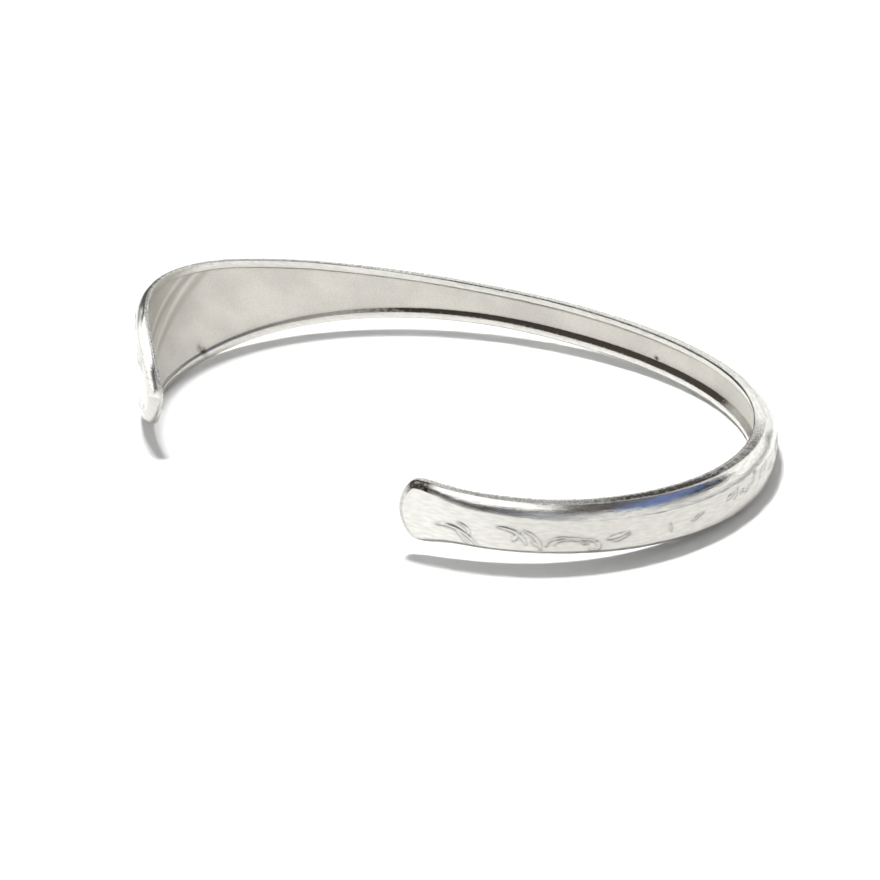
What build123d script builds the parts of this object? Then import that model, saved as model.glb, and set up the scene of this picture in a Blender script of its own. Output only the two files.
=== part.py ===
from build123d import *
import os
from collections import namedtuple
from math import cos, pi, sin, sqrt

# Spoon handle bracelet: one cast and rolled silver handle, bent on its flat into an open oval cuff.
# The wide end of the handle curls round at the left, the narrow end closes the ring at the front.
# Millimetres, Z up, resting on its lower edge as it lies on a table.

# Plan of the bend, measured along the inner face from the tip of the wide end
band_length = 141.0
curl_radius = 13.9
start_heading = 111.0

# Widths across the band
wide_end_width = 12.5
shank_width = 4.1
narrow_end_width = 6.2

# Thickness: a flat edge, then a bevel up to the ornamented panel
edge_thickness = 1.1
bevel_depth = 1.25
bevel_bulge = 0.12
panel_crown = 0.08

# Rounded ends: a nose arc at the tip, met by a side arc from each edge. A pointed end is never
# shorter than shortest_nose times half the width it closes. At the blunt narrow end the nose
# arc's radius is more than half the width by the flatness, and the side arcs round its corners.
wide_nose_length = 9.0
wide_nose_radius = 1.8
shortest_nose = 1.05
narrow_nose_flatness = 0.7
narrow_corner_radius = 1.2
end_bevel_lean = 1.0

# Recess rolled into the inner face between two raised rims
rim_width = 0.68
wide_rim_width = 0.86
recess_depth = 0.55
recess_slope = 0.42
recess_reach = 1.5
recess_from_wide_tip = 2.4
recess_from_narrow_tip = 1.3
recess_wide_nose_length = 9.0
recess_narrow_nose_length = 4.6
recess_wide_nose_radius = 1.5
recess_narrow_nose_radius = 1.4

# How far a cutting block runs past the metal
overrun = 2.5

# Raised ornament on the outer panel
relief_height = 0.16
relief_root = 0.3
leaf_length = 2.0
leaf_width = 0.62
scroll_radius = 0.72
scroll_thickness = 0.3
scroll_eye = 0.25
bead_radius = 0.2

# Where the lower edge touches the table: under the wide end, then either side of the far bend
wide_rest = 0.10
bend_rest_start = 0.66
bend_rest_end = 0.70

# Each row is one section of the band. along is its share of the length, bend its share of the
# tightest curvature, wide and narrow its shares of the widening towards each end, and edge, bevel
# and recess its shares of the edge thickness, the bevel depth and the recess.
Section = namedtuple("Section", "along bend wide narrow edge bevel recess")
SECTIONS = (
    Section(along=0.000, bend=0.413, wide=0.76, narrow=0.00, edge=0.30, bevel=0.72, recess=0.40),
    Section(along=0.030, bend=0.477, wide=0.85, narrow=0.00, edge=0.30, bevel=0.74, recess=0.41),
    Section(along=0.064, bend=0.606, wide=0.94, narrow=0.00, edge=0.30, bevel=0.77, recess=0.42),
    Section(along=0.100, bend=0.819, wide=1.00, narrow=0.00, edge=0.31, bevel=0.80, recess=0.44),
    Section(along=0.161, bend=0.982, wide=0.81, narrow=0.00, edge=0.34, bevel=0.80, recess=0.48),
    Section(along=0.221, bend=0.692, wide=0.49, narrow=0.00, edge=0.39, bevel=0.80, recess=0.56),
    Section(along=0.291, bend=0.430, wide=0.20, narrow=0.00, edge=0.46, bevel=0.78, recess=0.68),
    Section(along=0.371, bend=0.308, wide=0.04, narrow=0.00, edge=0.56, bevel=0.76, recess=0.84),
    Section(along=0.462, bend=0.224, wide=0.02, narrow=0.00, edge=0.67, bevel=0.76, recess=1.00),
    Section(along=0.552, bend=0.338, wide=0.01, narrow=0.05, edge=0.78, bevel=0.78, recess=1.00),
    Section(along=0.652, bend=0.599, wide=0.00, narrow=0.23, edge=0.92, bevel=0.86, recess=1.00),
    Section(along=0.753, bend=0.761, wide=0.00, narrow=0.31, edge=1.00, bevel=0.94, recess=1.00),
    Section(along=0.843, bend=0.751, wide=0.00, narrow=0.38, edge=1.00, bevel=1.00, recess=1.00),
    Section(along=0.913, bend=0.661, wide=0.00, narrow=0.40, edge=0.90, bevel=0.90, recess=0.85),
    Section(along=0.963, bend=0.274, wide=0.00, narrow=0.62, edge=0.62, bevel=0.74, recess=0.65),
    Section(along=0.979, bend=0.131, wide=0.00, narrow=0.88, edge=0.52, bevel=0.68, recess=0.60),
    Section(along=1.000, bend=-0.100, wide=0.00, narrow=1.00, edge=0.45, bevel=0.60, recess=0.55),
)


def between(column, along):
    """The value of a column of the table at any share of the length."""
    for before, after in zip(SECTIONS, SECTIONS[1:]):
        if along <= after.along:
            part_way = (along - before.along) / (after.along - before.along)
            return getattr(before, column) * (1 - part_way) + getattr(after, column) * part_way
    return getattr(SECTIONS[-1], column)


# The inner face in plan, walked in short steps from the wide tip: the heading turns by the bend.
walk_steps = 1000
step_length = band_length / walk_steps
walk = [(0.0, 0.0, start_heading * pi / 180)]
for step in range(walk_steps):
    x, y, heading = walk[-1]
    turn = between("bend", (step + 0.5) / walk_steps) / curl_radius * step_length
    middle = heading - turn / 2
    walk.append((x + step_length * cos(middle), y + step_length * sin(middle), heading - turn))


def spot(along, out=0.0, up=0.0):
    """A point by its share of the length, its distance outside the inner face and its height."""
    x, y, heading = walk[round(along * walk_steps)]
    return Vector(x - out * sin(heading), y + out * cos(heading), up)


def ahead(along):
    """The direction of travel along the band."""
    heading = walk[round(along * walk_steps)][2]
    return Vector(cos(heading), sin(heading), 0)


def outward(along):
    """The direction away from the wrist."""
    heading = walk[round(along * walk_steps)][2]
    return Vector(-sin(heading), cos(heading), 0)


def half_width(along):
    wide = between("wide", along) * (wide_end_width - shank_width)
    narrow = between("narrow", along) * (narrow_end_width - shank_width)
    return (shank_width + wide + narrow) / 2


def edge(along):
    return between("edge", along) * edge_thickness


def bevel(along):
    return between("bevel", along) * bevel_depth


def face(along):
    """How far the outer panel stands outside the inner face."""
    return edge(along) + bevel(along)


def panel_half(along):
    return half_width(along) - bevel(along)


def section_plane(along):
    """Square across the band: x points away from the wrist, y points up."""
    return Plane(origin=spot(along), x_dir=outward(along), z_dir=ahead(along))


# Blank: the whole strip with its flat edges, bevelled shoulders and slightly crowned panel
with BuildPart() as blank:
    for section in SECTIONS:
        half = half_width(section.along)
        flat = edge(section.along)
        front = face(section.along)
        panel = panel_half(section.along)
        middle_out = (flat + front) / 2 + bevel_bulge
        middle_up = (half + panel) / 2 + bevel_bulge
        with BuildSketch(section_plane(section.along)):
            with BuildLine():
                Line((0, -half), (0, half))
                Line((0, half), (flat, half))
                ThreePointArc((flat, half), (middle_out, middle_up), (front, panel))
                ThreePointArc((front, panel), (front + panel_crown, 0), (front, -panel))
                ThreePointArc((front, -panel), (middle_out, -middle_up), (flat, -half))
                Line((flat, -half), (0, -half))
            make_face()
    loft()


def rim(along):
    return rim_width + (wide_rim_width - rim_width) * between("wide", along)


def recess_mouth(along):
    """Half the width of the recess at the inner face."""
    return half_width(along) - rim(along)


# Recess tool: the same strip between the rims, its sides sloping in towards the floor
with BuildPart() as recess:
    for section in SECTIONS:
        depth = recess_depth * section.recess
        floor = recess_mouth(section.along) - recess_slope * section.recess
        above = recess_mouth(section.along) + recess_slope / recess_depth * recess_reach
        with BuildSketch(section_plane(section.along)):
            with BuildLine():
                Polyline(
                    (-recess_reach, above),
                    (depth, floor),
                    (depth, -floor),
                    (-recess_reach, -above),
                    close=True,
                )
            make_face()
    loft()


def sagitta(tip_along, root_along):
    """How far the band bows out between its tip and the root of its nose."""
    chord_middle = (spot(tip_along) + spot(root_along)) / 2
    return (spot((tip_along + root_along) / 2) - chord_middle).length


def nose_plane(tip_along, root_along):
    """Flat against the band's tip: x runs from the tip into the band, z away from the wrist."""
    away = outward((tip_along + root_along) / 2)
    lift = away * (sagitta(tip_along, root_along) / 2)
    return Plane(origin=spot(tip_along) + lift, x_dir=spot(root_along) - spot(tip_along), z_dir=away)


def nose_room(tip, length, half, radius):
    """The nose from above: an arc at the tip met by a side arc from each edge, open at the back."""
    run = length - tip
    side_radius = (run**2 - 2 * run * radius + half**2) / (2 * (half - radius))
    to_tangent = radius / (side_radius - radius)
    tangent_x = tip + radius - (run - radius) * to_tangent
    tangent_y = (side_radius - half) * to_tangent
    back = length + 2 * overrun
    with BuildSketch() as room:
        with BuildLine():
            TangentArc((length, half), (tangent_x, tangent_y), tangent=(-1, 0))
            ThreePointArc((tangent_x, tangent_y), (tip, 0), (tangent_x, -tangent_y))
            TangentArc((length, -half), (tangent_x, -tangent_y), tangent=(-1, 0))
            Polyline((length, half), (back, half), (back, -half), (length, -half))
        make_face()
    return room.sketch


def pointed(tip, length, half):
    """The length of a pointed nose, kept long enough for its side arcs."""
    return max(length, tip + shortest_nose * half)


def nose_waste(plane, tip, length, half, radius, start, depth, lean):
    """A block round the tip less the nose's own room, which narrows by the lean above its start."""
    narrowing = depth * lean
    with BuildPart() as waste:
        with BuildSketch(plane.offset(-overrun)):
            with Locations(((length - overrun) / 2, 0)):
                Rectangle(length + overrun, 2 * (half + overrun))
        extrude(amount=overrun + start + depth)
        with BuildSketch(plane.offset(-overrun)):
            add(nose_room(tip, length, half, radius))
        extrude(amount=overrun + start, mode=Mode.SUBTRACT)
        with BuildSketch(plane.offset(start)):
            add(nose_room(tip, length, half, radius))
        with BuildSketch(plane.offset(start + depth)):
            add(nose_room(tip + narrowing, length, half - narrowing, radius - narrowing))
        loft(ruled=True, mode=Mode.SUBTRACT)
    return waste.part


narrow_half = half_width(1)
narrow_nose_radius = narrow_half + narrow_nose_flatness
corner_centre = narrow_half - narrow_corner_radius
narrow_nose_length = narrow_nose_radius - sqrt(
    (narrow_nose_radius - narrow_corner_radius) ** 2 - corner_centre**2
)
wide_root = wide_nose_length / band_length
narrow_root = 1 - narrow_nose_length / band_length
wide_plane = nose_plane(0, wide_root)
narrow_plane = nose_plane(1, narrow_root)

wide_end_waste = nose_waste(
    plane=wide_plane,
    tip=0,
    length=pointed(0, wide_nose_length, half_width(wide_root)),
    half=half_width(wide_root),
    radius=wide_nose_radius,
    start=edge(0) + 2 * bevel_bulge,
    depth=bevel(0) + panel_crown + sagitta(0, wide_root),
    lean=end_bevel_lean,
)
narrow_end_waste = nose_waste(
    plane=narrow_plane,
    tip=0,
    length=narrow_nose_length,
    half=narrow_half,
    radius=narrow_nose_radius,
    start=edge(1) + 2 * bevel_bulge,
    depth=bevel(1) + panel_crown + sagitta(1, narrow_root),
    lean=end_bevel_lean,
)

# The recess stops short of each tip in a rounded end of its own
wide_mouth = recess_mouth(recess_wide_nose_length / band_length)
wide_rim_waste = nose_waste(
    plane=wide_plane,
    tip=recess_from_wide_tip,
    length=pointed(recess_from_wide_tip, recess_wide_nose_length, wide_mouth),
    half=wide_mouth,
    radius=recess_wide_nose_radius,
    start=0,
    depth=recess_depth + sagitta(0, wide_root),
    lean=recess_slope / recess_depth,
)
narrow_mouth = recess_mouth(1 - recess_narrow_nose_length / band_length)
narrow_rim_waste = nose_waste(
    plane=narrow_plane,
    tip=recess_from_narrow_tip,
    length=pointed(recess_from_narrow_tip, recess_narrow_nose_length, narrow_mouth),
    half=narrow_mouth,
    radius=recess_narrow_nose_radius,
    start=0,
    depth=recess_depth + sagitta(1, narrow_root),
    lean=recess_slope / recess_depth,
)

# Ornament, raised on the outer panel and sunk into it by its root
def panel_plane(along, across, turn):
    """On the panel: x points back towards the wide end, y up, both turned, z away from the wrist."""
    surface = face(along) + panel_crown * (1 - across**2)
    lean = turn * pi / 180
    return Plane(
        origin=spot(along, out=surface, up=across * panel_half(along)),
        x_dir=Vector(0, 0, sin(lean)) - ahead(along) * cos(lean),
        z_dir=outward(along),
    )


def leaf(size):
    """A leaf pointed at both ends."""
    half_length = size * leaf_length / 2
    half = size * leaf_width / 2
    with BuildSketch() as shape:
        with BuildLine():
            ThreePointArc((-half_length, 0), (0, half), (half_length, 0))
            ThreePointArc((half_length, 0), (0, -half), (-half_length, 0))
        make_face()
    return shape.sketch


def bead(size):
    """A small round drop."""
    with BuildSketch() as shape:
        Circle(size * bead_radius)
    return shape.sketch


def crescent(size):
    """An open C that thins to both tips."""
    outer = size * scroll_radius
    shift = size * scroll_thickness
    with BuildSketch() as shape:
        Circle(outer)
        with Locations((shift, 0)):
            Circle(outer - shift / 2, mode=Mode.SUBTRACT)
    return shape.sketch


def scroll(size):
    """The same C with a bead held in its mouth."""
    with BuildSketch() as shape:
        add(crescent(size))
        with Locations((size * scroll_eye, 0)):
            add(bead(size))
    return shape.sketch


# Each row is one motif: where its middle stands, its turn in degrees and its size.
Motif = namedtuple("Motif", "shape along across turn size")
ORNAMENT = [
    # Sprig at the narrow end
    Motif(leaf, along=0.974, across=-0.42, turn=172, size=0.95),
    Motif(leaf, along=0.958, across=-0.52, turn=-14, size=1.05),
    Motif(leaf, along=0.950, across=-0.05, turn=24, size=0.80),
    # Paired curves like a wave
    Motif(crescent, along=0.932, across=-0.35, turn=-70, size=0.95),
    Motif(crescent, along=0.921, across=-0.50, turn=110, size=0.80),
    Motif(leaf, along=0.907, across=-0.45, turn=-24, size=0.85),
    # Scroll that curls round its eye
    Motif(scroll, along=0.884, across=-0.35, turn=180, size=0.95),
    Motif(leaf, along=0.871, across=-0.60, turn=168, size=0.85),
    Motif(leaf, along=0.852, across=-0.40, turn=150, size=0.70),
    Motif(leaf, along=0.815, across=-0.20, turn=-160, size=0.75),
    # Spray on the wide end: a bead at its root, five leaves and two scrolls either side of it
    Motif(bead, along=0.098, across=0.00, turn=0, size=2.2),
    Motif(leaf, along=0.070, across=0.00, turn=0, size=2.2),
    Motif(leaf, along=0.075, across=0.30, turn=40, size=2.0),
    Motif(leaf, along=0.075, across=-0.30, turn=-40, size=2.0),
    Motif(leaf, along=0.094, across=0.42, turn=82, size=1.7),
    Motif(leaf, along=0.094, across=-0.42, turn=-82, size=1.7),
    Motif(scroll, along=0.058, across=0.66, turn=-30, size=1.5),
    Motif(scroll, along=0.058, across=-0.66, turn=30, size=1.5),
    Motif(scroll, along=0.122, across=0.45, turn=-150, size=1.5),
    Motif(scroll, along=0.122, across=-0.45, turn=150, size=1.5),
]

# The same few motifs run on over the far side and the bend, every other repeat upside down.
# Here along is a share of the pitch.
REPEAT = (
    Motif(scroll, along=0.00, across=0.00, turn=90, size=1.00),
    Motif(leaf, along=0.32, across=0.20, turn=168, size=0.85),
    Motif(leaf, along=0.40, across=-0.20, turn=168, size=0.75),
    Motif(bead, along=0.66, across=0.00, turn=0, size=1.10),
)
repeats = 9
repeats_start = 0.165
repeats_pitch = 0.075
for repeat in range(repeats):
    upright = 1 if repeat % 2 else -1
    for motif in REPEAT:
        ORNAMENT.append(
            motif._replace(
                along=repeats_start + (repeat + motif.along) * repeats_pitch,
                across=upright * motif.across,
                turn=upright * motif.turn,
            )
        )

raised = []
for motif in ORNAMENT:
    outline = motif.shape(motif.size)
    with BuildPart() as relief:
        with BuildSketch(panel_plane(motif.along, motif.across, motif.turn).offset(-relief_root)):
            add(outline)
        extrude(amount=relief_root + relief_height)
    raised += relief.part.solids()

with BuildPart() as tray:
    add(recess.part)
    add([wide_rim_waste, narrow_rim_waste], mode=Mode.SUBTRACT)

with BuildPart() as bent:
    add(blank.part)
    add([wide_end_waste, narrow_end_waste, tray.part], mode=Mode.SUBTRACT)
    add(raised)

# Laid on its lower edge as it rests by itself, then centred over the origin
rest_places = (wide_rest, bend_rest_start, bend_rest_end)
rest = [spot(along, out=edge(along), up=-half_width(along)) for along in rest_places]
normal = (rest[2] - rest[0]).cross(rest[1] - rest[0]).normalized()
table = Plane(origin=rest[0], x_dir=Vector(1, 0, 0) - normal * normal.X, z_dir=normal)
laid = bent.part.moved(table.location.inverse())
box = laid.bounding_box()

with BuildPart() as cuff_band:
    add(laid.moved(Location((-box.center().X, -box.center().Y, -box.min.Z))))

os.makedirs("parts", exist_ok=True)
cuff_band.part.label = "cuff_band"
export_step(cuff_band.part, "parts/cuff_band.step")
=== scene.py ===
import math

import bmesh
import bpy
import numpy as np
from mathutils import Euler, Matrix, Vector


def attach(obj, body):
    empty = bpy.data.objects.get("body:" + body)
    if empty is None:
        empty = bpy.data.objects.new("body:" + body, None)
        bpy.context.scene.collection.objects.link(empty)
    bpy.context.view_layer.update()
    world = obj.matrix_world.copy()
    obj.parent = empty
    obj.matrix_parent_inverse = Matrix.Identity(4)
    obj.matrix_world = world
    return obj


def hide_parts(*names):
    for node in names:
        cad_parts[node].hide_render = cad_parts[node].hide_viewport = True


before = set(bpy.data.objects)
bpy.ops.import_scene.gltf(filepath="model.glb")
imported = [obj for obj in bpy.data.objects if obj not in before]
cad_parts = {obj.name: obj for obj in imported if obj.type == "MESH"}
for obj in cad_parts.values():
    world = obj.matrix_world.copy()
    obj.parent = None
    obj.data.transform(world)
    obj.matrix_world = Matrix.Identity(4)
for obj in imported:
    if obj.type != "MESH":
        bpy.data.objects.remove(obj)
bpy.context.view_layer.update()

# The flat blank
# A spoon handle of rolled sterling silver, cut off its bowl and filed round at the cut.
# It is laid out flat first, in millimetres: s runs along it from the tip of the wide end,
# z runs across it and y stands out from the inner face.

handle_length = 141.0
wide_end_width = 12.5
shank_width = 4.1
narrow_end_width = 6.2
wide_nose_length = 9.0
wide_nose_radius = 1.8
narrow_nose_flatness = 0.7
narrow_corner_radius = 1.2

# Places along the handle, as shares of its length, and the share of each widening there
ALONG = (0.00, 0.030, 0.064, 0.100, 0.161, 0.221, 0.291, 0.371, 0.462,
         0.552, 0.652, 0.753, 0.843, 0.913, 0.963, 0.979, 1.00)
WIDE = (0.76, 0.85, 0.94, 1.00, 0.81, 0.49, 0.20, 0.04, 0.02,
        0.01, 0.00, 0.00, 0.00, 0.00, 0.00, 0.00, 0.00)
NARROW = (0.00, 0.00, 0.00, 0.00, 0.00, 0.00, 0.00, 0.00, 0.00,
          0.05, 0.23, 0.31, 0.38, 0.40, 0.62, 0.88, 1.00)


def share(column, s):
    """A smooth line through a column of shares, read at s."""
    a, c = np.array(ALONG), np.array(column, float)
    slope = np.gradient(c, a)
    t = np.clip(np.asarray(s, float) / handle_length, 0, 1)
    i = np.clip(np.searchsorted(a, t, side="right") - 1, 0, len(a) - 2)
    step = a[i + 1] - a[i]
    u = (t - a[i]) / step
    return ((1 + 2 * u) * (1 - u) ** 2 * c[i] + u * (1 - u) ** 2 * step * slope[i]
            + u * u * (3 - 2 * u) * c[i + 1] + u * u * (u - 1) * step * slope[i + 1])


def half_width(s):
    widened = share(WIDE, s) * (wide_end_width - shank_width)
    return (shank_width + widened + share(NARROW, s) * (narrow_end_width - shank_width)) / 2


narrow_half = half_width(handle_length)
narrow_nose_radius = narrow_half + narrow_nose_flatness
narrow_nose_length = narrow_nose_radius - math.sqrt(
    (narrow_nose_radius - narrow_corner_radius) ** 2 - (narrow_half - narrow_corner_radius) ** 2)


def rounded_end(tip, length, half, radius, count):
    """Half of a rounded end, tip to root: an arc at the tip met by another along the side."""
    run = length - tip
    side = (run ** 2 - 2 * run * radius + half ** 2) / (2 * (half - radius))
    turned = math.copysign(1, side - radius)
    meet = math.atan2(turned * (side - half), turned * (run - radius))
    tip_angles = np.linspace(0, meet, count // 2, endpoint=False)
    side_angles = np.linspace(meet, math.pi / 2, count - count // 2)
    tip_arc = np.stack([tip + radius * (1 - np.cos(tip_angles)), radius * np.sin(tip_angles)], -1)
    side_arc = np.stack([length - side * np.cos(side_angles), half - side + side * np.sin(side_angles)], -1)
    return np.concatenate([tip_arc, side_arc])


# Cross lines of the mesh: close together where the ornament is fine
SPACED_AT = (9, 20, 26, 92, 100, 138)
SPACING = (0.16, 0.18, 0.26, 0.26, 0.095, 0.085)
wide_nose_lines = 44
narrow_nose_lines = 40


def stations():
    places = [wide_nose_length]
    while places[-1] < handle_length - narrow_nose_length:
        places.append(places[-1] + np.interp(places[-1], SPACED_AT, SPACING))
    return np.array(places[1:-1])


middle_stations = stations()


def outline(wide_tip, narrow_tip, wide_radius, narrow_radius, narrow_root, inset):
    """The upper half of a line round the blank, set in from its sides by the inset."""
    root = handle_length - narrow_root
    wide_half = half_width(wide_nose_length) - inset(wide_nose_length)
    wide = rounded_end(wide_tip, wide_nose_length, wide_half, wide_radius, wide_nose_lines)
    root_half = half_width(root) - inset(root)
    narrow = rounded_end(narrow_tip, narrow_root, root_half, narrow_radius, narrow_nose_lines)
    narrow = np.stack([handle_length - narrow[::-1, 0], narrow[::-1, 1]], -1)
    squeeze = (middle_stations - wide_nose_length) / (handle_length - narrow_nose_length - wide_nose_length)
    s = wide_nose_length + squeeze * (root - wide_nose_length)
    return np.concatenate([wide, np.stack([s, half_width(s) - inset(s)], -1), narrow])


file_strokes = 30
wide_root_reach = 14
narrow_root_reach = 12


def filed(line):
    """The same line with the corner at each root eased over a few tenths of a millimetre."""
    eased = line.copy()
    narrow_root = len(line) - narrow_nose_lines
    for root, reach in ((wide_nose_lines, wide_root_reach), (narrow_root, narrow_root_reach)):
        for stroke in range(file_strokes):
            part = eased[root - reach:root + reach + 1]
            eased[root - reach + 1:root + reach] = (part[:-2] + 2 * part[1:-1] + part[2:]) / 4
    return eased


edge_line = filed(outline(0, 0, wide_nose_radius, narrow_nose_radius, narrow_nose_length, lambda s: 0 * s))
edge_s = edge_line[:, 0]
ahead = np.gradient(edge_line[:, 0]), np.gradient(edge_line[:, 1])
inward = np.stack([ahead[1], -ahead[0]], -1) / np.hypot(*ahead)[:, None]
inward[0], inward[-1] = (1, 0), (-1, 0)

# The shoulders and the outer panel
# The rolls left a flat edge and a bulging bevel along both sides of the handle, which rise
# to a slightly crowned panel. All of it is one piece of silver with the blank.

edge_thickness = 1.1
bevel_depth = 1.25
bevel_bulge = 0.12
panel_crown = 0.08
outer_corner = 0.06
EDGE = (0.30, 0.30, 0.30, 0.31, 0.34, 0.39, 0.46, 0.56, 0.67,
        0.78, 0.92, 1.00, 1.00, 0.90, 0.62, 0.52, 0.45)
BEVEL = (0.72, 0.74, 0.77, 0.80, 0.80, 0.80, 0.78, 0.76, 0.76,
         0.78, 0.86, 0.94, 1.00, 0.90, 0.72, 0.56, 0.40)

edge_height = share(EDGE, edge_s) * edge_thickness
bevel_height = share(BEVEL, edge_s) * bevel_depth


def swept(s, start, full):
    """Smoothly from nought at the start to one where it is full."""
    part = np.clip((s - start) / (full - start), 0, 1)
    return part * part * (3 - 2 * part)


def stretch(s, start, full, fading, gone):
    """One along a stretch of the handle, and nought past its two soft ends."""
    return swept(s, start, full) * (1 - swept(s, fading, gone))


# On the bent cuff the far side is where s is from about 30 to 86, the bend at the right is from
# there to 99, and the near side from there to the narrow tip.
# The lower bevel is worn steeper along the near side.
lower_steepness = 0.45
lower_reach = bevel_height * (1 - lower_steepness * stretch(edge_s, 92, 112, 132, 138))
crease_line = edge_line + inward * bevel_height[:, None]
lower_crease = edge_line + inward * lower_reach[:, None]


def row(distance, height):
    """A line of the upper half: its distance in from the edge line and its height."""
    place = edge_line + inward * (distance + 0 * edge_height)[:, None]
    return place[:, 0], place[:, 1], height + 0 * edge_height


# the lines down the bevel, as parts of the way from the panel to the flat edge
BEVEL_LINES = (0.03, 0.12, 0.25, 0.40, 0.55, 0.70, 0.84, 0.94)

# the edge leans outward where the bend rubs, and a little on the far side
rubbed = 0.12 * swept(edge_s, 45, 70) + 0.20 * swept(edge_s, 86, 93)
rubbed = rubbed * (1 - swept(edge_s, 97, 103))
shoulder_rows, lower_rows = [], []
for part in BEVEL_LINES:
    swell = 4 * bevel_bulge * part * (1 - part)
    height = edge_height + bevel_height * (1 - part) + swell
    leant = rubbed * edge_height * part
    shoulder_rows.append(row(bevel_height * (1 - part) - swell + leant, height))
    lower_rows.append(row(lower_reach * (1 - part) - swell + leant, height))
bevel_count = len(lower_rows)

# the flat edge is a little crowned, with its inner corner worn round
edge_crown = 0.07 * edge_height
inner_corner = 0.20 * edge_height
edge_rows = [(edge_height - outer_corner * 0.2, edge_crown),
             (edge_height - outer_corner * 1.2, 0.8 * edge_crown),
             (0.76 * edge_height, 0.25 * edge_crown), (0.52 * edge_height, 0 * edge_crown),
             (0.32 * edge_height, 0.15 * edge_crown), (inner_corner, 0.4 * edge_crown)]
edge_count = len(edge_rows)
corner_turns = 30, 60, 90
for turn in map(math.radians, corner_turns):
    inset = 0.4 * edge_crown + inner_corner * (1 - math.cos(turn))
    edge_rows.append((inner_corner * (1 - math.sin(turn)), inset))
shoulder_rows += [row(distance + rubbed * height, height) for height, distance in edge_rows]

# The recess in the inner face
# A tray rolled into the inside of the handle between two raised rims, with sloping walls.
# Its metal is left satin from the rolls, with tarnish and painted shade in the corners.

rim_width = 0.68
wide_rim_width = 0.86
recess_depth = 0.55
recess_slope = 0.42
recess_from_wide_tip = 2.4
recess_from_narrow_tip = 1.3
recess_wide_radius = 1.5
recess_narrow_radius = 1.4
recess_narrow_nose_length = 4.6
RECESS = (0.40, 0.41, 0.42, 0.44, 0.48, 0.56, 0.68, 0.84, 1.00,
          1.00, 1.00, 1.00, 1.00, 0.85, 0.65, 0.60, 0.55)

# The lines down the wall: the part of the slope passed, and the part of the depth
WALL = ((-0.10, 0), (0.0, 0.03), (0.12, 0.12), (0.5, 0.5), (0.88, 0.88), (1.0, 0.97), (1.12, 1))


def wall_inset(s, passed):
    rim = rim_width + share(WIDE, s) * (wide_rim_width - rim_width)
    return rim + share(RECESS, s) * recess_slope * passed


for passed, sunk in WALL:
    reach = passed * recess_slope
    wide_reach, narrow_reach = reach * RECESS[0], reach * RECESS[-1]
    wall_line = filed(outline(
        recess_from_wide_tip + wide_reach, recess_from_narrow_tip + narrow_reach,
        recess_wide_radius - wide_reach, recess_narrow_radius - narrow_reach,
        recess_narrow_nose_length, lambda s: wall_inset(s, passed)))
    wall_s = wall_line[:, 0]
    shoulder_rows.append((wall_s, wall_line[:, 1], share(RECESS, wall_s) * recess_depth * sunk))
lower_rows += shoulder_rows[bevel_count:]

# All the lines round the handle, from the panel's lower crease over the top and back
panel_lines = 46
field_lines = 14
rows = []
for across in np.linspace(-1, 1, panel_lines + 1):
    place = (crease_line * (1 + across) + lower_crease * (1, -1) * (1 - across)) / 2
    panel_height = share(EDGE, place[:, 0]) * edge_thickness + share(BEVEL, place[:, 0]) * bevel_depth
    rows.append((place[:, 0], place[:, 1], panel_height + panel_crown * (1 - across ** 2)))
panel_rows = len(rows)
rows += shoulder_rows
recess_floor = share(RECESS, wall_s) * recess_depth
for across in np.linspace(1, -1, field_lines + 1)[1:-1]:
    rows.append((wall_s, wall_line[:, 1] * across, recess_floor))
rows += [(s, -z, y) for s, z, y in reversed(lower_rows)]
flat = np.array(rows)          # line round the handle, (s, z, y), cross line

# The raised ornament
# Leaves, scrolls and beads struck into the outer panel by the die, worn soft since.
# Each stroke starts at a place on the panel, heads off at an angle from the line back to the
# wide end, and turns by degrees over each of its lengths. Side -1 turns it upside down.

leaf_height = 0.15
scroll_height = 0.15
bead_height = 0.16
STROKES = []


def stroke_line(s, z, heading, runs, side):
    points, angle = [(s, z * side)], math.radians(heading * side)
    s, z = points[0]
    for length, turn in runs:
        steps = max(4, int(abs(turn) / 12) + 2)
        for step in range(steps):
            angle += math.radians(turn * side) / steps
            s -= length / steps * math.cos(angle)
            z += length / steps * math.sin(angle)
            points.append((s, z))
    return np.array(points)


def leaf(s, z, heading, length, bend, wide, side=1):
    runs = (length * 0.5, bend), (length * 0.5, -0.4 * bend)
    STROKES.append((stroke_line(s, z, heading, runs, side), wide, leaf_height, "leaf"))


def scroll(s, z, heading, runs, wide, side=1):
    STROKES.append((stroke_line(s, z, heading, runs, side), wide, scroll_height, "scroll"))


def bead(s, z, wide):
    STROKES.append((np.array([(s - 0.01, z), (s, z)]), wide, bead_height, "bead"))


# a soft sprig towards the cut end
scroll(137.0, -0.55, 22, ((1.7, -30), (2.8, -45)), 0.24)
scroll(135.5, -0.30, -30, ((1.5, -25), (0.8, 20)), 0.15)
scroll(134.9, 0.10, -8, ((0.7, -20), (0.9, -60)), 0.17)
# two waves
scroll(131.3, 0.30, 4, ((1.3, -22), (1.7, -52)), 0.22)
leaf(130.0, -0.90, 70, 1.1, -18, 0.20)
scroll(129.1, 0.20, -16, ((1.2, -30), (1.2, -42)), 0.20)
leaf(128.4, -0.75, -52, 0.9, 10, 0.15)
# a long scroll that curls round its eye
scroll(127.3, -1.25, 84, ((0.9, -52), (1.1, -34), (2.2, -10), (0.8, -62), (0.6, -90), (0.5, -60)), 0.16)
scroll(126.6, -1.10, 84, ((0.6, -62), (1.1, -26), (1.3, -24)), 0.12)
bead(124.2, -0.88, 0.19)
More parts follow.
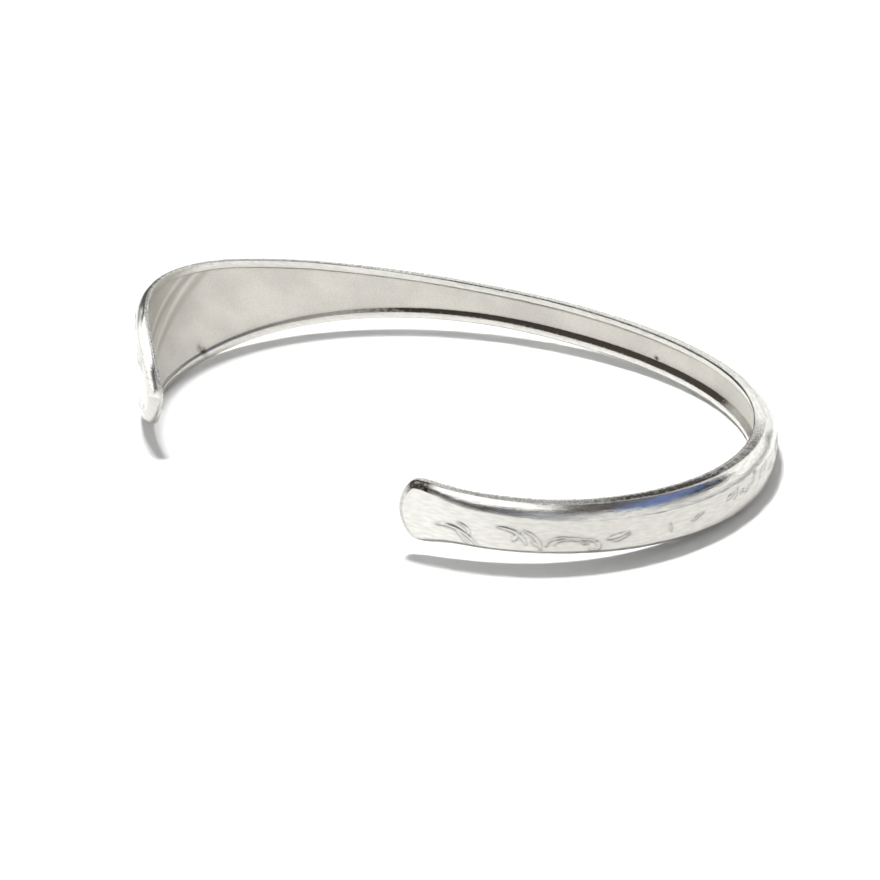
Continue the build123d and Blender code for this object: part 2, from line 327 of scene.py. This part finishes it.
# small leaves towards the bend
leaf(122.3, -0.66, 26, 1.8, -12, 0.19)
leaf(121.8, -0.90, 18, 1.4, 8, 0.13)
scroll(117.0, -0.05, -86, ((0.8, 8),), 0.07)
leaf(114.9, -0.35, 14, 1.2, 10, 0.11)
leaf(111.0, 0.30, 30, 0.9, -8, 0.16)
leaf(110.0, 0.05, 78, 0.9, -16, 0.13)
scroll(109.2, 0.25, 60, ((0.7, -110), (0.8, 120)), 0.13)
scroll(107.6, 0.50, -30, ((0.7, 120), (0.8, -110)), 0.13)
leaf(105.9, 0.30, 66, 1.1, -20, 0.15)
leaf(104.9, 0.60, 60, 1.0, -20, 0.13)

# the running pattern round the bend and the far side, every other repeat upside down
repeats = 8
first_repeat = 23.35
pitch = 10.61
for repeat in range(repeats):
    side = 1 if repeat % 2 else -1
    root = first_repeat + repeat * pitch
    scroll(root + 2.1, -0.62, 168, ((1.3, -70), (1.1, -50), (1.3, -200)), 0.16, side)
    bead(root + 3.1, 0.0, 0.15)
    scroll(root + 1.9, -0.60, 10, ((1.4, 42), (1.5, -70), (1.3, -60)), 0.15, side)
    leaf(root - 1.2, 0.10, 30, 1.7, -20, 0.20, side)
    leaf(root - 1.2, -0.10, -32, 1.5, 20, 0.18, side)
    bead(root - 3.4, 0.0, 0.17)
    leaf(root + 4.6, 0.05 * side, 166, 1.6, 16, 0.19, side)

# the spray on the wide end
spray_root = 13.6
spray_heart = 0.6
spray_end = 22.0
bead(14.2, 0.0, 0.46)
leaf(spray_root - spray_heart, 0.0, 0, 5.4, 0, 0.72)
for side in (-1, 1):
    for heading, length, wide in ((38, 4.7, 0.62), (78, 4.0, 0.50)):
        angle = math.radians(heading)
        s, z = spray_root - spray_heart * math.cos(angle), spray_heart * math.sin(angle)
        leaf(s, z, heading, length, -10, wide, side)
    scroll(11.6, 3.4, 20, ((2.2, 30), (1.9, -110), (1.7, -190)), 0.30, side)
    scroll(15.4, 0.9, 150, ((2.0, 40), (1.6, -130), (1.5, -180)), 0.28, side)
    bead(18.1, 1.35 * side, 0.26)
    leaf(6.4, 1.7, 30, 3.4, -16, 0.50, side)
    leaf(5.9, 3.1, -14, 3.0, -14, 0.44, side)
scroll(19.6, 0.0, 180, ((1.2, 40), (1.2, -80)), 0.2)

full_height_breadth = 0.24      # a stroke narrower than this stands lower
broad_stroke = 0.25             # a stroke wider than this has a soft hollow round it
soft_hollow = 0.32
sharp_hollow = 0.15
hollow_reach = 0.35
relief = np.zeros(flat[:panel_rows, 0].shape)
hollow = np.zeros(relief.shape)
panel_s, panel_z = flat[:panel_rows, 0], flat[:panel_rows, 1]
for stroke, wide, height, kind in STROKES:
    reach = wide + hollow_reach
    lo, hi = stroke.min(0) - reach, stroke.max(0) + reach
    near = (panel_s > lo[0]) & (panel_s < hi[0]) & (panel_z > lo[1]) & (panel_z < hi[1])
    if not near.any():
        continue
    point = np.stack([panel_s[near], panel_z[near]], -1)[:, None]
    a, b = stroke[None, :-1], stroke[None, 1:]
    along = np.clip(((point - a) * (b - a)).sum(-1) / ((b - a) ** 2).sum(-1), 0, 1)
    gap = np.linalg.norm(point - a - along[..., None] * (b - a), axis=-1)
    nearest = gap.argmin(1)
    pick = np.arange(len(nearest))
    gap = gap[pick, nearest]
    part = (nearest + along[pick, nearest]) / (len(stroke) - 1)
    if kind == "leaf":
        breadth = wide * np.sin(np.pi * np.clip(part, 0, 1) ** 0.7) ** 0.8 + 0.04
        vein = 1 - 0.6 * np.exp(-(gap / (0.25 * wide)) ** 2)
    elif kind == "scroll":
        breadth = wide * (0.3 + 0.7 * np.sin(np.pi * part) ** 0.7)
        vein = 1
    else:
        breadth = wide + 0 * part
        vein = 1
    hump = np.cos(np.pi / 2 * np.clip(gap / breadth, 0, 1)) ** 1.5 * vein
    relief[near] = np.maximum(relief[near], height * np.clip(breadth / full_height_breadth, 0, 0.8) * hump)
    # the hollow beside a stroke is deepest beneath it, and darkest there as painted shade under the raised
    # stroke
    beneath = (a + along[..., None] * (b - a) - point)[pick, nearest] / np.maximum(gap, 0.01)[:, None]
    shade = np.clip(0.55 + 0.45 * beneath @ (0.35, 0.94), 0.3, 1)
    furrow = soft_hollow if wide > broad_stroke else sharp_hollow
    hollow[near] = np.maximum(hollow[near], shade * np.exp(-((gap - 0.9 * breadth) / furrow) ** 2))
# no hollow lies on top of another stroke, and the broad spray is worn lower than the rest
hollow *= np.clip(1 - relief / 0.09, 0, 1)
relief *= 1 - 0.4 * (panel_s < spray_end)
flat[:panel_rows, 2] += relief - 0.02 * hollow

# What each place on the metal has been through, and where shade is painted on it. Each line of the mesh
# gets
# four masks, in this order: tarnish and painted shade, satin, file marks and a dull veil.
corner_first = bevel_count + edge_count
wall_first = corner_first + len(corner_turns)
# darkness along the recess walls and in the lower groove of the far side: tarnish and painted shade
WALL_TARNISH_AND_SHADE = (0.1, 0.3, 0.3, 0.2, 0.25, 0.3, 0.1)
GROOVE_TARNISH_AND_SHADE = (0.1, 0.6, 1.5, 1.6, 1.6, 1.4, 0.2)


def bevel_wear_and_shade(s, upper):
    """Polished, and dulled round the narrow tip, with a painted dark reflection on the upper side by the
    tip and painted shade along the lower bevel.
    """
    tip = swept(s, 139.2, 140.2)
    # painted dark reflection on the upper bevel by the tip; painted shade along the whole lower bevel
    patch = 1.3 * stretch(s, 136.8, 138.4, 139.6, 140.3) if upper else 0.3
    return np.maximum(0.25 * tip, patch), 0, 0, 0.10 + 0.3 * tip


def edge_wear(s, number):
    """File marks, rubbed away at the bend; a little darker at the wide end, darker from the bend along the
    near side, light on the far side and towards the narrow tip, with a darker line on the outer corner of
    the near side.
    """
    outer = number < 4
    lighter_stretch = np.maximum(stretch(s, 40, 48, 97, 99), swept(s, 117, 127))
    dark = (0.30 + (0.55 if outer else 0.20) * swept(s, 99, 104)) * (1 - lighter_stretch)
    if outer:
        dark += 0.5 * stretch(s, 108, 114, 134, 138)
    return dark, 0, 1 - 0.8 * stretch(s, 86, 93, 97, 101), 0


def corner_wear_and_shade(s, upper, number):
    """A dark line along the rounded corner beside the rim: painted dark reflection on the upper side; on
    the lower side a faint tarnish line, made darker along the far side as painted shade.
    """
    if upper:
        # painted dark reflection along the upper corner, on the far side and from the bend along the near
        # side
        far_line = (0.9, 1.6, 0.2)[number] * stretch(s, 42, 52, 90, 94)
        dark = far_line + (0, 0.8, 0.8)[number] * swept(s, 106, 110)
    else:
        # a faint tarnish line, darkened along the far side as painted shade
        dark = (0.4, 0.4, 0)[number] + (0.8, 0.8, 0)[number] * stretch(s, 40, 60, 92, 97)
    return dark, 0, 0, 0.45 * (1 - swept(s, 60, 85))


def wall_wear_and_shade(s, upper, number):
    """Satin below the rim, with tarnish and painted shade on the walls; the lower wall of the far side
    holds a near black band of tarnish and painted shade.
    """
    dark = WALL_TARNISH_AND_SHADE[number]
    if not upper:
        # tarnish and painted shade, near black, in the lower groove of the far side
        groove = stretch(s, 36, 50, 84, 89)
        dark = dark * (1 - groove) + GROOVE_TARNISH_AND_SHADE[number] * groove
    return dark, 1 if number > 1 else 0.3, 0, 0.75 - 0.4 * swept(s, 30, 55) - 0.25 * swept(s, 70, 90)


masks = np.zeros((4,) + flat[:, 0].shape)
tarnish_and_shade, satin, filed_edge, veil = masks
place_s, place_z = flat[:, 0], flat[:, 1]
# tarnish in the hollows round the ornament, made darker beneath each stroke as painted shade
tarnish_and_shade[:panel_rows] = 0.72 * hollow
veil[:panel_rows] = 0.30 + 0.45 * swept(panel_s, 138, 124) - 0.30 * swept(panel_s, 100, 92)
for upper in (True, False):
    for number in range(len(lower_rows)):
        line = panel_rows + number if upper else len(flat) - 1 - number
        if number < bevel_count:
            worn_and_shaded = bevel_wear_and_shade(place_s[line], upper)
        elif number < corner_first:
            worn_and_shaded = edge_wear(place_s[line], number - bevel_count)
        elif number < wall_first:
            worn_and_shaded = corner_wear_and_shade(place_s[line], upper, number - corner_first)
        else:
            worn_and_shaded = wall_wear_and_shade(place_s[line], upper, number - wall_first)
        for mask, strength in zip(masks, worn_and_shaded):
            mask[line] = strength
satin[panel_rows + len(lower_rows):len(flat) - len(lower_rows)] = 1

# inside the wide end: spots, a stain and the part where two faint folds show; further on a nick
SPOTS = ((22.2, -3.7, 0.34, 0.8), (22.7, -4.4, 0.42, 1.1), (21.5, 5.0, 1.8, 0.16),
         (24.5, 3.9, 1.2, 0.10), (74.9, -0.78, 0.24, 1.5))
inside = slice(panel_rows + wall_first, len(flat) - wall_first)
s, z = place_s[inside], place_z[inside]
dark = 0.04 * (1 - swept(s, 18, 23)) * (satin[inside] == 1)
for spot_s, spot_z, wide, strength in SPOTS:
    dark = np.maximum(dark, strength * np.exp(-((s - spot_s) ** 2 + (z - spot_z) ** 2) / wide ** 2))
tarnish_and_shade[inside] = np.maximum(tarnish_and_shade[inside], dark)
folded = np.zeros(place_s.shape)
folded[inside] = (satin[inside] == 1) * stretch(z, -2.5, 0, 4.6, 5.4) * (1 - swept(s, 23, 26))

# the last line is the first again, which closes the handle all round
flat, folded = np.concatenate([flat, flat[:1]]), np.concatenate([folded, folded[:1]])
laid_flat = np.stack([flat[:, 0], flat[:, 1], folded], -1)
wear_and_shade = np.stack(masks, -1)
wear_and_shade = np.concatenate([wear_and_shade, wear_and_shade[:1]])

# Bending it round
# The finished handle is bent on its flat round an oval mandrel, tightest near the wide end,
# and the cut end is left almost straight. The cuff then lies on its lower edge.

curl_radius = 13.9
start_heading = 111.0
BEND = (0.413, 0.477, 0.606, 0.819, 0.982, 0.692, 0.430, 0.308, 0.224,
        0.338, 0.599, 0.761, 0.751, 0.661, 0.274, 0.131, -0.100)

walk_steps = 1415
step_length = handle_length / walk_steps
step_bend = np.interp((np.arange(walk_steps) + 0.5) / walk_steps, ALONG, BEND) / curl_radius
heading = math.radians(start_heading) - np.concatenate([[0], np.cumsum(step_bend)]) * step_length
middle_heading = (heading[1:] + heading[:-1]) / 2
walk_x = np.concatenate([[0], np.cumsum(np.cos(middle_heading))]) * step_length
walk_y = np.concatenate([[0], np.cumsum(np.sin(middle_heading))]) * step_length
walk_s = np.linspace(0, handle_length, walk_steps + 1)


def bent(s, z, y):
    """A place on the flat handle carried round the bend."""
    turn = np.interp(s, walk_s, heading)
    over = s - np.clip(s, 0, handle_length)
    return np.stack([np.interp(s, walk_s, walk_x) + over * np.cos(turn) - y * np.sin(turn),
                     np.interp(s, walk_s, walk_y) + over * np.sin(turn) + y * np.cos(turn), z + 0 * y], -1)


def lower_edge(along):
    s = np.array(along * handle_length)
    return bent(s, -half_width(s), share(EDGE, s) * edge_thickness)


# it rests on three places of its lower edge, and the frame's origin is the middle of the cuff
rest = [lower_edge(along) for along in (0.10, 0.66, 0.70)]
table_up = np.cross(rest[2] - rest[0], rest[1] - rest[0])
table_up /= np.linalg.norm(table_up)
table_x = np.array((1.0, 0, 0)) - table_up * table_up[0]
table_x /= np.linalg.norm(table_x)
table = np.stack([table_x, np.cross(table_up, table_x), table_up])
cuff_middle = np.array((29.923, -14.958, -0.030))


def laid(points):
    """Bent places laid on the table, in metres from the middle of the cuff."""
    return ((points - rest[0]) @ table.T - cuff_middle) * 0.001


shape = laid(bent(flat[:, 0], flat[:, 1], flat[:, 2]))
lines, count = shape.shape[:2]

# the way round the section from the first line, for the map of the unrolled metal
around = np.linalg.norm(np.diff(flat[:, 1:], axis=0), axis=1).cumsum(0)
around = np.concatenate([0 * around[:1], around]) + flat[0, 1]
millimetres_per_centimetre = 10

# a flat sheet of squares is laid along the lines, then closed where its sides meet
sheet = bmesh.new()
bmesh.ops.create_grid(sheet, x_segments=count - 1, y_segments=lines - 1, size=1)
cuff_mesh = bpy.data.meshes.new("handle_cuff")
sheet.to_mesh(cuff_mesh)
sheet.free()
place = np.empty(len(cuff_mesh.vertices) * 3)
cuff_mesh.vertices.foreach_get("co", place)
place = place.reshape(-1, 3)
station = np.rint((place[:, 0] + 1) / 2 * (count - 1)).astype(int)
line_no = np.rint((place[:, 1] + 1) / 2 * (lines - 1)).astype(int)
cuff_mesh.vertices.foreach_set("co", shape[line_no, station].ravel())
wear_and_shade_layer = cuff_mesh.attributes.new("wear_and_shade", "FLOAT_COLOR", "POINT")
wear_and_shade_layer.data.foreach_set("color", wear_and_shade[line_no, station].ravel())
flat_layer = cuff_mesh.attributes.new("laid_flat", "FLOAT_VECTOR", "POINT")
flat_layer.data.foreach_set("vector", laid_flat[line_no, station].ravel())
unrolled_layer = cuff_mesh.uv_layers.new(name="unrolled")
corner_vertex = np.empty(len(cuff_mesh.loops), int)
cuff_mesh.loops.foreach_get("vertex_index", corner_vertex)
unrolled = np.stack([flat[line_no, 0, station], around[line_no, station]], -1)
unrolled /= millimetres_per_centimetre
unrolled_layer.data.foreach_set("uv", unrolled[corner_vertex].ravel())

cuff = bmesh.new()
cuff.from_mesh(cuff_mesh)
bmesh.ops.remove_doubles(cuff, verts=cuff.verts, dist=1e-7)
bmesh.ops.recalc_face_normals(cuff, faces=cuff.faces)
for f in cuff.faces:
    f.smooth = True
cuff.to_mesh(cuff_mesh)
cuff.free()
handle_cuff = bpy.data.objects.new("handle_cuff", cuff_mesh)
bpy.context.scene.collection.objects.link(handle_cuff)

# Its silver: polished outside, satin in the recess, file marks on the flat edges, fine
# scratches all over and brown-grey tarnish left in the hollows. The same dark colour also paints
# shade and dark reflections beneath the ornament, along the rounded corners, on the lower bevel,
# in the recess walls and by the narrow tip
polished_colour = (0.95, 0.94, 0.89, 1)
veiled_colour = (0.60, 0.585, 0.54, 1)
satin_colour = (0.72, 0.695, 0.64, 1)
# the dark colour of tarnish, also used for painted shade and painted dark reflections
tarnish_and_shade_colour = (0.05, 0.043, 0.035, 1)
fold_shade = (0.52, 0.49, 0.44, 1)
fold_light = (0.76, 0.74, 0.69, 1)

silver = bpy.data.materials.new("silver")
silver.use_nodes = True
nodes, links = silver.node_tree.nodes, silver.node_tree.links
surface = nodes["Principled BSDF"]
surface.inputs["Metallic"].default_value = 1.0


def node(kind, **settings):
    made = nodes.new(kind)
    for key, value in settings.items():
        setattr(made, key, value)
    return made


def mixed(kind, factor, a, b, blend="MIX"):
    """A Mix node of colours or floats; sockets are linked and plain values are set."""
    made = node("ShaderNodeMix", data_type=kind, blend_type=blend)
    first = {"FLOAT": 2, "RGBA": 6}[kind]
    for socket, value in ((made.inputs[0], factor), (made.inputs[first], a), (made.inputs[first + 1], b)):
        if isinstance(value, bpy.types.NodeSocket):
            links.new(value, socket)
        else:
            socket.default_value = value
    return made.outputs[{"FLOAT": 0, "RGBA": 2}[kind]]


def grain(scale, detail=3.0, stretched=(1, 1, 1), low=0.0, high=1.0, from_low=0.35, from_high=0.65):
    """Noise on the unrolled handle, in centimetres, spread between low and high."""
    mapping = node("ShaderNodeMapping")
    mapping.inputs["Scale"].default_value = stretched
    links.new(unrolled_map.outputs["UV"], mapping.inputs["Vector"])
    noise = node("ShaderNodeTexNoise", noise_dimensions="2D")
    noise.inputs["Scale"].default_value = scale
    noise.inputs["Detail"].default_value = detail
    links.new(mapping.outputs[0], noise.inputs["Vector"])
    spread = node("ShaderNodeMapRange")
    for name, value in (("From Min", from_low), ("From Max", from_high), ("To Min", low), ("To Max", high)):
        spread.inputs[name].default_value = value
    links.new(noise.outputs["Fac"], spread.inputs["Value"])
    return spread.outputs[0]


unrolled_map = node("ShaderNodeUVMap", uv_map="unrolled")
wear_and_shade_map = node("ShaderNodeVertexColor", layer_name="wear_and_shade")
wear_and_shade_parts = node("ShaderNodeSeparateColor")
links.new(wear_and_shade_map.outputs["Color"], wear_and_shade_parts.inputs["Color"])
tarnish_and_shade_part, satin_part, filed_part = wear_and_shade_parts.outputs
veiled = wear_and_shade_map.outputs["Alpha"]

blotches = grain(22.0, 4.0, low=0.62, high=1.0)
# how far each place is taken to the dark colour of tarnish and painted shade
darkening = mixed("FLOAT", blotches, 0.0, tarnish_and_shade_part)
speckle = grain(60.0, 2.0, (1, 1.4, 1), low=0.86, high=1.0)
clouds = grain(1.6, 4.0, (1, 1.5, 1), low=0.88, high=1.0)
streaks = grain(24.0, 5.0, (0.4, 1.6, 1), low=0.87, high=1.0)
veiled_silver = mixed("RGBA", veiled, polished_colour, veiled_colour)
plain_silver = mixed("RGBA", 1.0, veiled_silver, streaks, "MULTIPLY")
speckled_silver = mixed("RGBA", 1.0, satin_colour, speckle, "MULTIPLY")
satin_silver = mixed("RGBA", 1.0, speckled_silver, clouds, "MULTIPLY")

laid_map = node("ShaderNodeAttribute", attribute_name="laid_flat")
laid_parts = node("ShaderNodeSeparateXYZ")
links.new(laid_map.outputs["Vector"], laid_parts.inputs[0])
folded_part = laid_parts.outputs["Z"]


def fold(root, slant, wide):
    """A soft line across the recess, from its s at mid height and its slant."""
    across = node("ShaderNodeVectorMath", operation="DOT_PRODUCT")
    across.inputs[1].default_value = (-1, slant, 0)
    links.new(laid_map.outputs["Vector"], across.inputs[0])
    offset = node("ShaderNodeMath", operation="ADD")
    offset.inputs[1].default_value = root
    links.new(across.outputs["Value"], offset.inputs[0])
    away = node("ShaderNodeMath", operation="ABSOLUTE")
    links.new(offset.outputs[0], away.inputs[0])
    soft = node("ShaderNodeMapRange", interpolation_type="SMOOTHSTEP")
    for name, value in (("From Max", wide), ("To Min", 1), ("To Max", 0)):
        soft.inputs[name].default_value = value
    links.new(away.outputs[0], soft.inputs["Value"])
    return mixed("FLOAT", soft.outputs[0], 0.0, folded_part)


# each fold is a shaded line with a lighter one beside it
for root, slant in ((15.6, 1.6), (9.7, 2.3)):
    satin_silver = mixed("RGBA", fold(root + 1.0, slant, 1.4), satin_silver, fold_shade)
    satin_silver = mixed("RGBA", fold(root - 0.7, slant, 1.0), satin_silver, fold_light)
clean = mixed("RGBA", satin_part, plain_silver, satin_silver)
links.new(mixed("RGBA", darkening, clean, tarnish_and_shade_colour), surface.inputs["Base Color"])

polish = grain(3.0, 5.0, (1, 3, 1), low=0.07, high=0.17)
satin_rough = grain(20.0, 3.0, low=0.36, high=0.46)
filed_rough = grain(30.0, 3.0, low=0.20, high=0.34)
rough = mixed("FLOAT", filed_part, mixed("FLOAT", satin_part, polish, satin_rough), filed_rough)
links.new(rough, surface.inputs["Roughness"])

mark_depth = 0.00004
ripple_depth = 0.00015
scratches = grain(30.0, 3.0, (0.25, 5, 1))
satin_grain = grain(70.0, 2.0, (1, 1.3, 1))
file_marks = grain(48.0, 3.0, (1.2, 0.6, 1))
marks = mixed("FLOAT", filed_part, mixed("FLOAT", satin_part, scratches, satin_grain), file_marks)
mark_strength = mixed("FLOAT", filed_part, mixed("FLOAT", satin_part, 0.12, 0.22), 0.8)
marked = node("ShaderNodeBump")
marked.inputs["Distance"].default_value = mark_depth
links.new(marks, marked.inputs["Height"])
links.new(mark_strength, marked.inputs["Strength"])
ripples = grain(1.5, 2.0, (1.2, 1.2, 1), from_low=0.0, from_high=1.0)
rippled = node("ShaderNodeBump")
rippled.inputs["Distance"].default_value = ripple_depth
rippled.inputs["Strength"].default_value = 0.6
links.new(ripples, rippled.inputs["Height"])
links.new(rippled.outputs[0], marked.inputs["Normal"])
links.new(marked.outputs[0], surface.inputs["Normal"])
cuff_mesh.materials.append(silver)

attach(handle_cuff, "root")
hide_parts("cuff_band")

# The table
# A sheet of plain white paper, three metres wide, under the bracelet.

paper_reach = 1.5
paper = bmesh.new()
bmesh.ops.create_grid(paper, x_segments=1, y_segments=1, size=paper_reach)
paper_mesh = bpy.data.meshes.new("paper")
paper.to_mesh(paper_mesh)
paper.free()
floor = bpy.data.objects.new("paper", paper_mesh)
bpy.context.scene.collection.objects.link(floor)
white_paper = bpy.data.materials.new("white_paper")
white_paper.use_nodes = True
paper_surface = white_paper.node_tree.nodes["Principled BSDF"]
paper_surface.inputs["Base Color"].default_value = (0.92, 0.92, 0.92, 1)
paper_surface.inputs["Roughness"].default_value = 0.9
paper_mesh.materials.append(white_paper)

# Soft studio light
# A small soft lamp above and a little behind, in an evenly lit white room. The silver mirrors
# flat cards hung out of sight: a ceiling of them at 0.9 m, and walls at the left, front and back.

room_light = 0.41
room = bpy.data.worlds.new("studio")
bpy.context.scene.world = room
room.use_nodes = True
room.node_tree.nodes["Background"].inputs["Color"].default_value = (1, 1, 1, 1)
room.node_tree.nodes["Background"].inputs["Strength"].default_value = room_light

soft_lamp = bpy.data.lights.new("overhead", "AREA")
soft_lamp.shape = "RECTANGLE"
soft_lamp.size = 0.07
soft_lamp.size_y = 0.055
soft_lamp.energy = 1.9
lamp = bpy.data.objects.new("overhead", soft_lamp)
lamp.location = (-0.023, 0.067, 0.454)
lamp.rotation_euler = (Vector((0, 0, 0)) - lamp.location).to_track_quat("-Z", "Y").to_euler()
lamp.visible_glossy = False
bpy.context.scene.collection.objects.link(lamp)


def card(name, corner_a, corner_b, colour, strength=1.0):
    """A flat card between two corners; the axis on which they agree is the one that it faces."""
    board = bmesh.new()
    bmesh.ops.create_grid(board, x_segments=1, y_segments=1, size=1)
    lo, hi = Vector(corner_a), Vector(corner_b)
    across, along = [i for i in range(3) if lo[i] != hi[i]]
    for v in board.verts:
        spot = Vector((lo + hi) / 2)
        spot[across] += v.co.x * (hi[across] - lo[across]) / 2
        spot[along] += v.co.y * (hi[along] - lo[along]) / 2
        v.co = spot
    card_mesh = bpy.data.meshes.new(name)
    board.to_mesh(card_mesh)
    board.free()
    hung = bpy.data.objects.new(name, card_mesh)
    bpy.context.scene.collection.objects.link(hung)
    glow = bpy.data.materials.new(name)
    glow.use_nodes = True
    glow_nodes = glow.node_tree.nodes
    glow_nodes.remove(glow_nodes["Principled BSDF"])
    emission = glow_nodes.new("ShaderNodeEmission")
    emission.inputs["Color"].default_value = (*colour, 1)
    emission.inputs["Strength"].default_value = strength
    glow.node_tree.links.new(emission.outputs[0], glow_nodes["Material Output"].inputs["Surface"])
    card_mesh.materials.append(glow)
    hung.visible_camera = False
    hung.visible_diffuse = False
    hung.visible_shadow = False


white = (1.0, 1.0, 1.0)
light_grey = (0.80, 0.80, 0.79)
cool_grey = (0.42, 0.44, 0.47)
blue = (0.16, 0.22, 0.45)
navy = (0.05, 0.06, 0.12)
dark_grey = (0.125, 0.115, 0.11)
back_grey = (0.10, 0.097, 0.093)
charcoal = (0.07, 0.065, 0.06)
seam_grey = (0.05, 0.05, 0.05)
warm_black = (0.03, 0.028, 0.025)
black = (0.02, 0.02, 0.02)

card("white_overhead", (-1.60, -0.55, 0.92), (0.06, 1.60, 0.92), white, 1.4)
card("black_left_back", (-1.30, 0.95, 0.91), (-0.05, 1.50, 0.91), warm_black)
card("white_left_back", (-1.60, 1.60, 0.92), (-0.20, 3.50, 0.92), white, 1.1)
card("white_left", (-1.60, -1.20, 0.10), (-1.60, 1.60, 0.91), white, 1.3)
card("dark_overhead", (0.06, -0.72, 0.92), (0.47, 0.70, 0.92), dark_grey)
card("dark_seam", (-0.50, -0.62, 0.91), (0.20, -0.42, 0.91), seam_grey)
card("navy_front", (-0.50, -1.40, 0.895), (-0.28, -0.80, 0.895), navy)
card("dark_left_front", (-1.10, -1.50, 0.92), (-0.48, -0.62, 0.92), charcoal)
card("grey_front", (-0.48, -3.00, 0.90), (0.34, -0.72, 0.90), cool_grey)
card("blue_right", (0.47, -0.62, 0.90), (0.92, 0.36, 0.90), blue)
card("black_right", (0.66, -0.10, 0.93), (1.60, 0.58, 0.93), black)
card("white_front", (-2.50, -3.00, 0.00), (2.50, -3.00, 0.89), white)
card("light_front_right", (0.34, -3.00, 0.895), (4.00, -0.62, 0.895), light_grey)
card("white_right", (1.62, -0.50, 0.92), (4.00, 0.60, 0.92), white)
card("white_right_back", (0.55, 0.60, 0.92), (4.00, 3.50, 0.92), white, 1.1)
card("grey_back", (-0.60, 1.00, 0.00), (-0.02, 1.00, 0.485), back_grey)
card("white_back", (-0.02, 1.00, 0.00), (0.60, 1.00, 0.485), white)
card("grey_back_left", (-0.60, 1.00, 0.485), (-0.10, 1.00, 0.68), back_grey)
card("white_back_left", (-0.10, 1.00, 0.485), (0.03, 1.00, 0.68), white)
card("dark_back", (0.03, 1.00, 0.485), (0.105, 1.00, 0.62), back_grey)
card("white_back_right", (0.105, 1.00, 0.485), (0.60, 1.00, 0.68), white)

# The camera
# A long lens 31 cm away, looking down on the bracelet from in front at 25 degrees.

camera_place = Vector((0.00841, -0.28028, 0.13321))
camera_turn = Euler([math.radians(angle) for angle in (64.532, 4.310, -0.126)])
lens = bpy.data.cameras.new("camera")
lens.sensor_width = 36
lens.lens = 129.66
lens.clip_start = 0.01
camera = bpy.data.objects.new("camera", lens)
camera.matrix_world = Matrix.LocRotScale(camera_place, camera_turn, None)
bpy.context.scene.collection.objects.link(camera)
bpy.context.scene.camera = camera
bpy.context.scene.view_settings.view_transform = "Standard"
